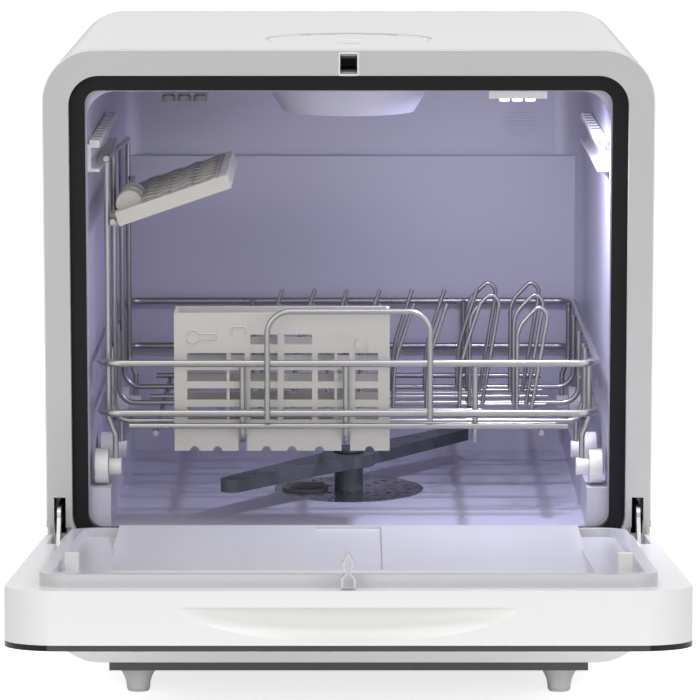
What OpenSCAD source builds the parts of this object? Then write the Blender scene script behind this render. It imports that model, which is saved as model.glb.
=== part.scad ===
// Countertop dishwasher with a drop-down door and a roll-out wire basket.
// Millimetres, +Z up. The origin is the middle of the cabinet's footprint, on the surface it stands on.
// The front looks along -Y. The door is drawn open and the basket pushed in.

/* [Cabinet] */
// Width of the cabinet
cab_w = 420; // [405:1:440]
// Height of the cabinet shell, without base and feet
cab_h = 428; // [415:1:445]
// Depth from the front frame's face to the rear cover's back
cab_d = 385; // [378:1:410]
// Radius of the cabinet's four long edges
corner_r = 36; // [24:1:40]
// Wall of the outer shell
shell_t = 2; // [1.2:0.1:3]
// Thickness of the rear cover
rear_t = 3; // [2:0.5:5]
// Height of a foot
foot_h = 20; // [15:1:30]
// Foot radius at the base
foot_top_r = 10; // [8:0.5:13]
// Foot radius on the worktop
foot_low_r = 7.5; // [6:0.5:8]
// Height of the base block that shows below the shell
base_h = 9; // [6:1:14]
// Width of the base block
base_w = 336; // [320:2:345]

/* [Front frame] */
// Width of the frame beside the opening
frame_side = 18; // [16:0.5:20]
// Height of the frame above the opening
frame_top = 18; // [17.5:0.5:20]
// Thickness of the frame's face
frame_t = 4; // [3:0.5:5]
// Depth of the frame's inner skirts
frame_skirt = 22; // [18:1:30]
// Corner radius of the opening
open_r = 21; // [18:1:24]
// Height of the opening's lower edge above the shell's bottom
open_sill = 83; // [80:1:86]
// Depth of the recess that the door's lower end swings in
recess_d = 9; // [8:0.5:12]
// Height of the toe panel
toe_h = 35; // [30:1:35]

/* [Tub] */
// Step from the opening's side in to the tub's wall
tub_in = 11.5; // [11:0.5:12]
// Wall of the tub
tub_t = 2.5; // [1.5:0.5:3]
// Ceiling of the tub below the shell's top
tub_drop = 30; // [28:1:34]
// Room between the tub's back wall and the cabinet's back
rear_room = 41; // [37:1:43]
// Corner radius of the tub's section
tub_r = 20; // [14:1:24]
// Height of the tub floor above the opening's lower edge
tub_floor_up = 8; // [6:1:9]
// Width of the side ledges that carry the basket's wheels
ledge_w = 14.5; // [13:0.5:15]
// Height where the back wall steps, below the shell's top
step_drop = 108; // [95:1:120]
// Depth of the back wall's step
step_d = 6; // [3:0.5:6]
// Radius of the sump's opening in the tub floor
sump_r = 55; // [50:1:58]
// Depth of the sump below the tub floor
sump_d = 66; // [64:1:70]
// Width of the rubber gasket's section
gasket_w = 10.5; // [9.5:0.5:10.5]
// Depth of the gasket's section
gasket_d = 7.7; // [6:0.1:7.7]

/* [Door] */
// Thickness of the white door frame
door_t = 33; // [32:0.5:36]
// Thickness of the door's glass
glass_t = 3.5; // [3:0.5:5]
// Gap between the closed door and the front frame
door_gap = 0.5; // [0.4:0.1:1]
// Angle that the open door stands from the closed one
door_open = 84; // [80:1:86]
// Height of the hinge axis above the shell's bottom
hinge_up = 67.7; // [66:0.1:70]
// Distance of the hinge axis in front of the frame's face
hinge_out = 27; // [26:0.5:27]
// Length of door below the hinge axis
door_below = 30; // [26:0.5:30]
// Width of the door frame's side members
door_side = 21; // [20:0.5:22]
// Height of the liner's rim
rim_h = 7.5; // [6:0.5:7.5]
// Thickness of the liner's rim
rim_t = 8; // [6:0.5:9]
// Wall of the liner
liner_t = 3; // [2:0.5:4]
// Radius of a hinge pin
pin_r = 3; // [2.5:0.1:3.2]
// Thickness of a hinge arm
arm_t = 2.5; // [2:0.1:3]
// Distance of a hinge arm's middle from the cabinet's side
arm_in = 9.5; // [9:0.1:10.5]
// Width of the finger scoop in the door's upper edge
scoop_w = 205; // [120:5:240]
// Depth of the finger scoop
scoop_d = 11; // [6:0.5:14]

/* [Basket] */
// Gap between the basket's rails and the tub's wall
basket_gap = 5.5; // [5:0.5:10]
// Distance of the rear rail's middle ahead of the tub's back wall when the basket is in
basket_back = 14; // [12:1:30]
// Diameter of the rails
rail_d = 5; // [4:0.1:5]
// Diameter of the other basket wires
wire_d = 4; // [3:0.1:4.2]
// Diameter of the tines
tine_d = 3; // [2.5:0.1:3.4]
// Height of the top rail above the shell's bottom
rail_up = 209; // [205:1:212]
// Height of the second rail below the top rail
rail_step = 35; // [30:1:38]
// Height of the floor wires below the top rail
floor_step = 56; // [54:1:58]
// Distance of the front rail behind the frame's face when the basket is in
basket_in = 14; // [13:0.5:16]
// Travel of the basket from in to out
basket_travel = 288; // [270:1:288]
// Radius of a basket wheel
wheel_r = 12.3; // [11:0.1:12.4]
// Width of a basket wheel
wheel_w = 9; // [8:0.5:9]
// Height of the wheel axles above the shell's bottom
wheel_up = 133.5; // [132:0.5:135]
// Width of the handle loop
handle_w = 117; // [90:1:140]
// Height of the handle loop above the top rail
handle_up = 37; // [25:1:45]
// Height of the tall side rack above the top rail at the front
rack_up = 141; // [125:1:145]
// Fall of the tall side rack's top bar towards the rear
rack_fall = 14; // [0:1:16]

/* [Cup shelf] */
// Width of the cup shelf across the basket
shelf_w = 86; // [60:1:90]
// Length of the cup shelf along the basket
shelf_l = 165; // [162:1:180]
// Thickness of the cup shelf
shelf_t = 10; // [7:0.5:10]
// Height of the shelf's hinge wire above the top rail
shelf_up = 97; // [85:1:100]
// Angle of the shelf above the level
shelf_tilt = 19; // [0:1:20]

/* [Cutlery basket] */
// Width of the cutlery basket
cutlery_w = 150; // [120:1:156]
// Depth of the cutlery basket
cutlery_d = 36; // [28:1:40]
// Height of the cutlery basket
cutlery_h = 97; // [80:1:98]
// Place of its middle left of the centre plane
cutlery_x = 46.5; // [40:0.5:50]
// Wall of the cutlery basket
cutlery_t = 2.4; // [2:0.1:3]

/* [Filler] */
// Radius of the round filler recess in the top
filler_r = 59; // [50:1:62]
// Distance of the filler's middle behind the frame's face
filler_back = 97; // [90:1:105]
// Depth of the filler bowl
filler_depth = 38; // [34:1:40]
// Thickness of the filler lid
lid_t = 3; // [2:0.5:4]

/* [Spray arm] */
// Gap between the spray arm's tip and the tub's nearest wall
spray_gap = 18; // [16:1:40]
// Thickness of the spray arm
spray_t = 9; // [7:1:11]
// Height of the spray arm above the tub floor
spray_up = 18; // [16:1:22]
// Radius of the post that the spray arm turns on
post_r = 8; // [6:0.5:9]

/* [Services] */
// Radius of the water inlet's thread
inlet_r = 13.2; // [9:0.1:14]
// Length of the water inlet behind the rear cover
inlet_l = 14; // [10:1:20]
// Radius of the drain spout
drain_r = 9; // [7:0.5:10]
// Length of the drain spout behind the rear cover
drain_l = 22; // [15:1:30]
// Bore of the mains gland
gland_bore_r = 3.6; // [3:0.1:4.5]
// Radius of the pump's motor
motor_r = 28; // [22:1:29]
// Length of the pump's motor
motor_l = 62; // [50:1:70]
// Radius of the drying fan's rotor
fan_r = 24; // [18:1:26]

/* [Clearances] */
// Gap between a turning piece and its bore, on the radius
run_gap = 0.05; // [0.03:0.01:0.1]
// Gap between bodies that pass each other
pass_gap = 0.3; // [0.3:0.05:0.6]

/* [Hidden] */
$fn = 48;

seam = 0.02;                                   // gap between fitted faces of one body
touch = 0.1;                                   // gap between wires that cross, where the weld is
front_y = -cab_d / 2;                          // face of the front frame
back_y = cab_d / 2;                            // back of the rear cover
low_z = foot_h + base_h;                       // bottom of the shell
top_z = low_z + cab_h;                         // top of the shell
mid_z = low_z + cab_h / 2;
open_z0 = low_z + open_sill;
open_z1 = top_z - frame_top;
open_w = cab_w - 2 * frame_side;
gasket_y = front_y + rim_h + 0.8;              // face of the gasket
mouth_y = gasket_y + gasket_d;                 // front of the tub's flange
tub_z0 = open_z0 + tub_floor_up;
tub_z1 = top_z - tub_drop;
tub_w = open_w - 2 * tub_in;
tub_h = tub_z1 - tub_z0;
tub_back_y = back_y - rear_room;
tub_d = tub_back_y - mouth_y;
wheel_z = low_z + wheel_up;
ledge_z = wheel_z - wheel_r - pass_gap;
step_z = top_z - step_drop;
sump_y = (mouth_y + tub_back_y) / 2 - 5;
hinge_y = front_y - hinge_out;
hinge_z = low_z + hinge_up;
door_z0 = hinge_z - door_below;
door_w = cab_w;
door_face = door_gap + door_t;                 // inner face of the glass, ahead of the frame
rim_w = open_w - 6;
rim_z0 = open_z0 + 3;
rim_z1 = open_z1 - 3;
rim_r = open_r - 2;
pocket_x = rim_w / 2 - 34;                     // half width of the liner's pocket
arm_x = cab_w / 2 - arm_in;
arm_half = arm_t / 2;
pin_eye_r = 2 * pin_r;
slot_w = arm_t + 2 * 2.8;                      // slot beside a hinge arm
slot_top = hinge_z + 53;
rail_z = low_z + rail_up;
rail2_z = rail_z - rail_step;
floor_z = rail_z - floor_step;
rail_r = rail_d / 2;
wire_r = wire_d / 2;
tine_r = tine_d / 2;
basket_w = tub_w - 2 * basket_gap;
rail_x = basket_w / 2 - rail_r;
rail_y0 = front_y + basket_in;
rail_y1 = tub_back_y - basket_back;
basket_d = rail_y1 - rail_y0;
upright_in = rail_r + wire_r + touch;          // from a rail's middle to an upright's middle
wheel_x0 = basket_w / 2 - 6.8;
wheel_x1 = wheel_x0 + wheel_w;
hub_x0 = wheel_x0 - 9;
hub_r = 6;
axle_r = 3;
wheel_front_y = rail_y0 + 18;
wheel_mid_y = wheel_front_y + 69;
wheel_rear_y = rail_y1 - 24;
tilt = 90 - door_open;
// height of the open door's inner plane where the front wheel stops, seen square to the door
wheel_ahead = hinge_y - wheel_front_y + basket_travel;
plane_gap = (wheel_z - hinge_z) * cos(tilt) - hinge_out - wheel_ahead * sin(tilt);
ledge_v = plane_gap - wheel_r - pass_gap;      // wheel track of the door above its inner plane
stop_u = hinge_z + wheel_ahead * cos(tilt) + (wheel_z - hinge_z) * sin(tilt) + wheel_r + 0.6;
rack_x = -(rail_x - rail_r - wire_r - touch);
rack_z = rail_z + rack_up;
shelf_z = rail_z + shelf_up;
shelf_x = rack_x + wire_d + touch;
shelf_y0 = rail_y0 + 10;
cutlery_y0 = rail_y0 + rail_r + wire_d + 2.2;
cutlery_z0 = floor_z - wire_r - 5;
cutlery_seat = floor_z + wire_r + 2.6;         // underside of the cutlery basket's floor
filler_y = front_y + filler_back;
spray_z = tub_z0 + spray_up;
spray_r = min(tub_d, tub_w) / 2 - spray_gap;
tray_t = 2;
tray_top = low_z + shell_t + tray_t;
pump_z = tray_top + 4 + motor_r;
pump_x = 74;
foot_x = base_w / 2 - 19;
foot_y = back_y - 40;
tank_y1 = back_y - rear_t - 3;
tank_y0 = tub_back_y + tub_t + 2;
fan_x = tub_w / 2 - 48.5;
fan_z = top_z - 82;
inlet_x = cab_w / 2 - 60;
inlet_z = low_z + 42;
drain_x = inlet_x - 58;
drain_z = low_z + 34;
gland_x = 42 - cab_w / 2;
gland_z = low_z + 30;
latch_z = top_z - frame_top / 2 - 1;

// ---------- helpers ----------

// rounded rectangle about the origin, with true arcs
module rrect(w, h, r) {
    square([w - 2 * r, h], center = true);
    square([w, h - 2 * r], center = true);
    for (sx = [-1, 1], sy = [-1, 1])
        translate([sx * (w / 2 - r), sy * (h / 2 - r)]) circle(r);
}

// rounded rectangle from z0 to z1, upright in X and Z
module rrect_z(w, z0, z1, r) {
    translate([0, (z0 + z1) / 2]) rrect(w, z1 - z0, r);
}

// extrudes a drawing in X and Z from y0 to y1
module slab_y(y0, y1) {
    translate([0, y1, 0]) rotate([90, 0, 0]) linear_extrude(y1 - y0) children();
}

// extrudes a drawing in Y and Z from x0 to x1
module slab_x(x0, x1) {
    translate([x0, 0, 0]) rotate([90, 0, 90]) linear_extrude(x1 - x0) children();
}

// box between two corners
module block(p, q) {
    translate(p) cube(q - p);
}

// straight round wire between two points
module rod(p, q, r) {
    d = q - p;
    l = norm(d);
    translate(p) rotate([0, acos(d[2] / l), atan2(d[1], d[0])]) cylinder(h = l, r = r);
}

// round wire through points of a drawing, with a ball at each bend
module kinked_wire(p, r) {
    for (i = [1:len(p) - 1]) rod([p[i - 1][0], p[i - 1][1], 0], [p[i][0], p[i][1], 0], r);
    for (i = [1:len(p) - 2]) translate([p[i][0], p[i][1], 0]) sphere(1.08 * r);
}

// round wire bent into a U with square corners: down at x0, along at y0, up at x1
module u_wire(x0, x1, y0, top, r, bend) {
    up = top > y0 ? 1 : -1;
    for (x = [x0, x1]) rod([x, y0 + up * bend, 0], [x, top, 0], r);
    rod([x0 + bend, y0, 0], [x1 - bend, y0, 0], r);
    translate([x0 + bend, y0 + up * bend, 0]) rotate(up > 0 ? 180 : 90)
        rotate_extrude(angle = 90) translate([bend, 0]) circle(r, $fn = 24);
    translate([x1 - bend, y0 + up * bend, 0]) rotate(up > 0 ? 270 : 0)
        rotate_extrude(angle = 90) translate([bend, 0]) circle(r, $fn = 24);
}

// stands a drawing's wires up in X and Z at a given y, or in Y and Z at a given x
module in_xz(y) {
    translate([0, y, 0]) rotate([90, 0, 0]) children();
}

module in_yz(x) {
    translate([x, 0, 0]) rotate([90, 0, 90]) children();
}

// cylinder along X from x0 to x1
module round_x(x0, x1, y, z, r) {
    translate([x0, y, z]) rotate([0, 90, 0]) cylinder(h = x1 - x0, r = r);
}

// cylinder along Y from y0 to y1
module round_y(y0, y1, x, z, r) {
    translate([x, y1, z]) rotate([90, 0, 0]) cylinder(h = y1 - y0, r = r);
}

// flat bar between two points of a drawing, with round ends
module bar(p, q, w) {
    d = q - p;
    translate(p) rotate(atan2(d[1], d[0])) translate([0, -w / 2]) square([norm(d), w]);
    translate(p) circle(w / 2);
    translate(q) circle(w / 2);
}

// turns what is drawn in the closed door's place to the open one
module opened() {
    translate([0, hinge_y, hinge_z]) rotate([door_open, 0, 0]) translate([0, -hinge_y, -hinge_z]) children();
}

// both sides of the centre plane
module both() {
    children();
    mirror([1, 0, 0]) children();
}

// cross head screw lying along Y, head towards +Y
module screw_y(x, y, z, l) {
    difference() {
        union() {
            round_y(y - l, y, x, z, 1.6);
            round_y(y, y + 1.8, x, z, 3.4);
        }
        for (a = [0, 90]) translate([x, y + 1.3, z]) rotate([0, a, 0]) cube([4, 1.4, 0.9], center = true);
    }
}

// ---------- cabinet ----------

module cabinet_outline(shrink) {
    rrect_z(cab_w - 2 * shrink, low_z + shrink, top_z - shrink, corner_r - shrink);
}

module outer_shell() {
    color("white") difference() {
        slab_y(front_y + frame_t, back_y - rear_t) difference() {
            cabinet_outline(0);
            cabinet_outline(shell_t);
        }
        // the door's lower end swings through here
        block([-cab_w, front_y, low_z - 1], [cab_w, front_y + recess_d, open_z0 + 13]);
        translate([0, filler_y, top_z - 2 * shell_t])
            cylinder(h = 3 * shell_t, r = filler_r + seam, $fn = 96);
        // mouth of the base
        block([-base_w / 2 + 6, front_y + 20, low_z - 1],
              [base_w / 2 - 6, back_y - 20, low_z + shell_t + 1]);
    }
}

rear_holes = [for (sx = [-1, 1], z = [low_z + 22, mid_z - 60, mid_z + 60, top_z - 22])
    [sx * (cab_w / 2 - 14), z]];

module rear_cover() {
    color("whitesmoke") difference() {
        slab_y(back_y - rear_t, back_y) cabinet_outline(0);
        for (p = rear_holes) round_y(back_y - 2 * rear_t, back_y + 1, p[0], p[1], 1.6 + seam);
        round_y(back_y - 2 * rear_t, back_y + 1, inlet_x, inlet_z, inlet_r + 2 + seam);
        round_y(back_y - 2 * rear_t, back_y + 1, drain_x, drain_z, drain_r + 2 + seam);
        round_y(back_y - 2 * rear_t, back_y + 1, gland_x, gland_z, 7 + seam);
        for (i = [0:6]) block([fan_x - 26, back_y - 2 * rear_t, fan_z - 22 + 7 * i],
                              [fan_x + 26, back_y + 1, fan_z - 18.5 + 7 * i]);
    }
}

module rear_screws() {
    color("silver") for (p = rear_holes) screw_y(p[0], back_y, p[1], 9);
}

module base_tray() {
    color("dimgray") difference() {
        union() {
            block([-base_w / 2, front_y + 14, foot_h], [base_w / 2, back_y - 14, low_z]);
            block([-base_w / 2 + 6 + seam, front_y + 20 + seam, low_z - 1],
                  [base_w / 2 - 6 - seam, back_y - 20 - seam, low_z + shell_t]);
            block([-base_w / 2, front_y + frame_skirt + 0.5, low_z + shell_t],
                  [base_w / 2, back_y - 18, tray_top]);
        }
        block([-base_w / 2 + 10, front_y + 24, foot_h - 1],
              [base_w / 2 - 10, back_y - 24, low_z + shell_t]);
    }
    color("dimgray") for (sx = [-1, 1], sy = [-1, 1])
        translate([sx * foot_x, sy * foot_y, foot_h]) cylinder(h = base_h + shell_t, r = foot_top_r + 2);
}

module feet() {
    color("gray") for (sx = [-1, 1], sy = [-1, 1]) translate([sx * foot_x, sy * foot_y, 0]) {
        cylinder(h = 2, r = foot_low_r);
        translate([0, 0, 2]) cylinder(h = foot_h - 5, r1 = foot_low_r, r2 = foot_top_r - 1.5);
        translate([0, 0, foot_h - 3]) cylinder(h = 3, r = foot_top_r);
    }
}

module opening_outline(grow) {
    rrect_z(open_w + 2 * grow, open_z0 - grow, open_z1 + grow, open_r + grow);
}

module front_frame() {
    recess_z = open_z0 + 13;
    skirt_y = front_y + frame_skirt;
    color("silver") difference() {
        union() {
            slab_y(front_y, front_y + frame_t) difference() {
                cabinet_outline(0);
                opening_outline(0);
            }
            slab_y(front_y + frame_t, skirt_y) difference() {
                cabinet_outline(shell_t + seam);
                cabinet_outline(shell_t + 3);
            }
            slab_y(front_y + frame_t, mouth_y) difference() {
                opening_outline(2.5);
                opening_outline(0);
            }
            // wall behind the recess
            slab_y(front_y + recess_d, front_y + recess_d + 3) difference() {
                intersection() {
                    cabinet_outline(shell_t + seam);
                    translate([-cab_w, low_z + 3]) square([2 * cab_w, recess_z - low_z]);
                }
                opening_outline(0);
            }
        }
        // the recess itself
        difference() {
            block([-cab_w, front_y - 1, low_z - 1], [cab_w, front_y + recess_d, recess_z]);
            slab_y(front_y - 2, front_y + recess_d + 1) opening_outline(2.5);
        }
        slab_y(front_y - 2, front_y + recess_d) difference() {
            opening_outline(2.6);
            translate([-cab_w, open_z0 + 10]) square([2 * cab_w, cab_h]);
        }
        // slots of the hinge arms
        both() block([arm_x - slot_w / 2, front_y - 1, recess_z - 6],
                     [arm_x + slot_w / 2, front_y + frame_t + 20, recess_z + 21]);
        // hole of the latch
        block([-6, front_y - 1, latch_z - 7], [6, front_y + frame_t + 1, latch_z + 7]);
    }
}

module toe_panel() {
    color("lightgray") difference() {
        slab_y(front_y, front_y + recess_d) intersection() {
            cabinet_outline(0);
            translate([-cab_w, low_z - 1]) square([2 * cab_w, toe_h + 1]);
        }
        slab_y(front_y + 3, front_y + recess_d + 1) intersection() {
            cabinet_outline(3);
            translate([-cab_w, low_z - 1]) square([2 * cab_w, toe_h - 2]);
        }
    }
}

// ---------- tub ----------

module tub_form(grow, y0) {
    intersection() {
        slab_y(y0, tub_back_y + grow) rrect_z(tub_w + 2 * grow, tub_z0 - grow, tub_z1 + grow, tub_r + grow);
        translate([0, 0, tub_z0 - grow - 1]) linear_extrude(tub_h + 2 * grow + 2)
            translate([0, tub_back_y + grow - tub_d]) rrect(tub_w + 2 * grow, 2 * tub_d, tub_r + 2 + grow);
    }
}

module tub() {
    dish_r = filler_r - 1;
    color("lavender") difference() {
        union() {
            tub_form(tub_t, mouth_y);
            slab_y(mouth_y, mouth_y + tub_t) opening_outline(2.5);
            // shell of the dish that hangs under the filler
            translate([0, filler_y, tub_z1 - 18 - tub_t])
                cylinder(h = 18 + 2 * tub_t, r1 = 44 + tub_t, r2 = dish_r + tub_t, $fn = 96);
        }
        difference() {
            tub_form(0, mouth_y - 1);
            // the dish and the lower part of the back wall stay
            translate([0, filler_y, tub_z1 - 18 - tub_t])
                cylinder(h = 18 + 2 * tub_t, r1 = 44 + tub_t, r2 = dish_r + tub_t, $fn = 96);
            block([-tub_w, tub_back_y - step_d, tub_z0 - 1], [tub_w, tub_back_y + 9, step_z]);
        }
        translate([0, filler_y, tub_z1 - 18])
            cylinder(h = 18 + 2 * tub_t, r1 = 44, r2 = dish_r, $fn = 96);
        translate([0, sump_y, tub_z0 - 2 * tub_t]) cylinder(h = 3 * tub_t, r = sump_r, $fn = 96);
        // air inlet of the fan
        round_y(tub_back_y - 2 * step_d, tub_back_y + 2 * tub_t, fan_x, fan_z, 12);
        // windows of the lamp and the vent
        block([lamp_x - 16, lamp_y, tub_z1 - 1], [lamp_x + 16, lamp_y + 26, tub_z1 + 2 * tub_t]);
        for (i = [-1, 0, 1])
            translate([vent_x + 11 * i, vent_y, tub_z1 - 1]) cylinder(h = 2 * tub_t + 1, r = 3.5);
    }
}

lamp_x = tub_w / 2 - 63.5;
lamp_y = mouth_y + 14;
vent_x = 66.5 - tub_w / 2;
vent_y = mouth_y + 26;

module tub_gasket() {
    color("black") slab_y(gasket_y, mouth_y) difference() {
        opening_outline(-seam);
        opening_outline(-gasket_w);
    }
}

// strips along the tub's sides that carry the basket's wheels
module wheel_runners() {
    color("lavender") both() intersection() {
        tub_form(-seam, mouth_y);
        block([tub_w / 2 - ledge_w, mouth_y, tub_z0], [tub_w, tub_back_y - step_d - seam, ledge_z]);
    }
}

module side_rails() {
    z0 = top_z - 87;
    z1 = z0 + 19;
    y0 = mouth_y + 12;
    y1 = y0 + 220;
    x = tub_w / 2;
    color("whitesmoke") both() {
        block([x - 2, y0, z0], [x, y1, z1]);
        block([x - 8, y0, z0], [x - 1, y1, z0 + 2]);
        block([x - 8, y0, z1 - 2], [x - 1, y1, z1]);
        for (i = [0:10]) block([x - 8, y0 + 20 * i, z1 - 1], [x - 1, y0 + 20 * i + 10, z1 + 3]);
    }
}

module sump() {
    z1 = tub_z0 - tub_t;
    z0 = tub_z0 - sump_d;
    color("gainsboro") difference() {
        union() {
            translate([0, sump_y, z0]) cylinder(h = z1 - z0, r = sump_r + 3, $fn = 96);
            translate([0, sump_y, z1 - 3]) cylinder(h = 3, r = sump_r + 8, $fn = 96);
            round_x(sump_r - 4, pump_x, sump_y, pump_z, 9);
            round_x(-pump_x, 4 - sump_r, sump_y, pump_z - 4, 8);
        }
        translate([0, sump_y, z0 + 2.5]) cylinder(h = sump_d, r = sump_r - 4, $fn = 96);
        round_x(sump_r - 6, pump_x + 1, sump_y, pump_z, 7);
        round_x(-pump_x - 1, 6 - sump_r, sump_y, pump_z - 4, 6);
        for (sx = [-1, 1]) translate([sx * 20, sump_y + 34, z0 - 1]) cylinder(h = 5, r = 3 + seam);
    }
}

cup_r = 14;
cup_x = -32;

module filter_plate() {
    z0 = tub_z0 - tub_t;
    color("silver") difference() {
        translate([0, sump_y, z0]) cylinder(h = 2, r = sump_r - seam, $fn = 96);
        translate([0, sump_y, z0 - 1]) cylinder(h = 4, r = post_r + 3);
        translate([cup_x, sump_y, z0 - 1]) cylinder(h = 4, r = cup_r + run_gap);
        for (k = [0:2], i = [0:7 + 6 * k])
            let (a = 360 / (8 + 6 * k) * i, d = 20 + 12 * k, x = d * cos(a), y = d * sin(a))
                if (norm([x - cup_x, y]) > cup_r + 5)
                    translate([x, sump_y + y, z0 - 1]) cylinder(h = 4, r = 2.2, $fn = 24);
    }
}

module filter_cup() {
    z1 = tub_z0 - tub_t + 2 + 0.1;
    color("gray") translate([cup_x, sump_y, 0]) {
        difference() {
            union() {
                translate([0, 0, z1 - 24]) cylinder(h = 24, r = cup_r);
                translate([0, 0, z1]) cylinder(h = 2, r = cup_r + 3);
            }
            translate([0, 0, z1 - 22]) cylinder(h = 30, r = cup_r - 1.6);
            for (k = [0:2]) rotate(60 * k + 30) block([-20, -2.5, z1 - 20], [20, 2.5, z1 - 13]);
        }
        block([-cup_r + 0.8, -1.5, z1 - 4], [cup_r - 0.8, 1.5, z1 + 5]);
    }
}

module spray_post() {
    z0 = tub_z0 - sump_d + 2.5;
    color("gray") translate([0, sump_y, 0]) {
        translate([0, 0, z0]) cylinder(h = spray_z - pass_gap - z0, r = post_r + 2.5);
        translate([0, 0, z0]) cylinder(h = spray_z + spray_t + 1.5 - z0, r = post_r);
        translate([0, 0, spray_z + spray_t + 1.5]) cylinder(h = 2.5, r = post_r + 2);
    }
}

spray_turn = 52;

module spray_arm() {
    color("lightgray") translate([0, sump_y, spray_z]) rotate(spray_turn) difference() {
        union() {
            cylinder(h = spray_t, r = 19);
            linear_extrude(spray_t) for (a = [0, 180]) rotate(a) {
                polygon([[0, -15], [spray_r - 11, -8], [spray_r - 11, 8], [0, 15]]);
                translate([spray_r - 11, 0]) circle(8);
            }
        }
        translate([0, 0, -1]) cylinder(h = spray_t + 2, r = post_r + run_gap);
        translate([0, 0, spray_t - 1]) cylinder(h = 2, r = post_r + 3);
        for (a = [0, 180], i = [0:4]) rotate(a) translate([38 + 24 * i, 3 - i, 1.5])
            cylinder(h = spray_t, r = 1.6, $fn = 24);
    }
}

// ---------- pumps, heater and water ----------

volute_w = 22;

module wash_pump_housing() {
    x1 = pump_x + volute_w;
    color("dimgray") difference() {
        union() {
            round_x(pump_x, x1, sump_y, pump_z, motor_r + 3);
            round_x(x1, x1 + motor_l, sump_y, pump_z, motor_r);
            round_x(x1 + motor_l, x1 + motor_l + 5, sump_y, pump_z, motor_r - 10);
        }
        round_x(pump_x + 2, x1 - 2, sump_y, pump_z, motor_r - 1);
        round_x(pump_x - 1, pump_x + 3, sump_y, pump_z, 7);
        round_x(x1 - 3, x1 + motor_l - 8, sump_y, pump_z, axle_r + run_gap);
    }
}

module pump_rotor() {
    x0 = pump_x + 2 + pass_gap + 1.5;
    color("silver") {
        round_x(x0, x0 + 3, sump_y, pump_z, motor_r - 6);
        round_x(x0, pump_x + volute_w + motor_l - 10, sump_y, pump_z, axle_r);
        for (a = [0:60:300]) translate([x0 + 2.5, sump_y, pump_z]) rotate([a, 0, 0])
            translate([0, -0.8, 2]) cube([9, 1.6, motor_r - 9]);
    }
}

module pump_cradle() {
    color("black") for (x = [pump_x + volute_w + 8, pump_x + volute_w + motor_l - 16]) difference() {
        block([x, sump_y - 20, tray_top], [x + 8, sump_y + 20, pump_z - motor_r + 9]);
        round_x(x - 1, x + 9, sump_y, pump_z, motor_r + seam);
    }
}

module drain_pump() {
    x0 = -pump_x - 58;
    z = pump_z - 4;
    color("dimgray") difference() {
        union() {
            round_x(x0 + 36, -pump_x, sump_y, z, 22);
            round_x(x0, x0 + 36, sump_y, z, 17);
            block([x0 + 6, sump_y - 10, tray_top], [-pump_x - 6, sump_y + 10, z - 8]);
            round_y(sump_y + 10, sump_y + 34, -pump_x - 11, z, 6);
        }
        round_x(-pump_x - 18, -pump_x + 1, sump_y, z, 6);
    }
}

module heater_coil() {
    z = tub_z0 - sump_d + 12;
    color("silver") translate([0, sump_y, 0]) {
        translate([0, 0, z]) rotate_extrude($fn = 72) translate([39.5, 0]) circle(3.5, $fn = 24);
        for (sx = [-1, 1]) translate([sx * 20, 34, z - 26]) cylinder(h = 26, r = 3);
    }
}

module tank_outline(shrink) {
    y0 = tank_y0 - 90 + shrink;
    y1 = tank_y0 + shrink;
    y2 = tank_y1 - shrink;
    z0 = tray_top + shrink;
    z1 = tub_z0 - tub_t - 12 - shrink;
    z2 = top_z - 72 - shrink;
    polygon([[y0, z0], [y2, z0], [y2, z2], [y1, z2], [y1, z1], [y0, z1]]);
}

module water_tank() {
    x0 = 38.5 - tub_w / 2;
    x1 = drain_x - 26;
    wall = 2.5;
    color("aliceblue") difference() {
        slab_x(x0, x1) tank_outline(0);
        slab_x(x0 + wall, x1 - wall) tank_outline(wall);
        block([-24 + seam, tank_y0 + 2.5, top_z - 80], [24 - seam, tank_y1 - 2.5, top_z - 60]);
    }
}

duct_z = top_z - shell_t - 8;                  // top of the duct from the filler to the tank

module duct_outline(shrink) {
    y0 = filler_y + 40;
    y1 = tank_y0 + 2.5 + seam + shrink;
    y2 = tank_y1 - 2.5 - seam - shrink;
    z0 = duct_z - 16 + shrink;
    z1 = duct_z - shrink;
    z2 = top_z - 76;
    polygon([[y0, z1], [y2, z1], [y2, z2], [y1, z2], [y1, z0], [y0, z0]]);
}

module filler_duct() {
    color("aliceblue") difference() {
        slab_x(-24 + 2 * seam, 24 - 2 * seam) duct_outline(0);
        slab_x(-22, 22) duct_outline(2);
        block([-22, filler_y + 39, duct_z - 14], [22, filler_y + 50, duct_z - 2]);
        block([-22, tank_y0 + 4.6, top_z - 80], [22, tank_y1 - 4.6, top_z - 60]);
        translate([0, filler_y, duct_z - 30]) cylinder(h = 40, r = filler_r - 6 + seam, $fn = 96);
    }
}

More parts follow.
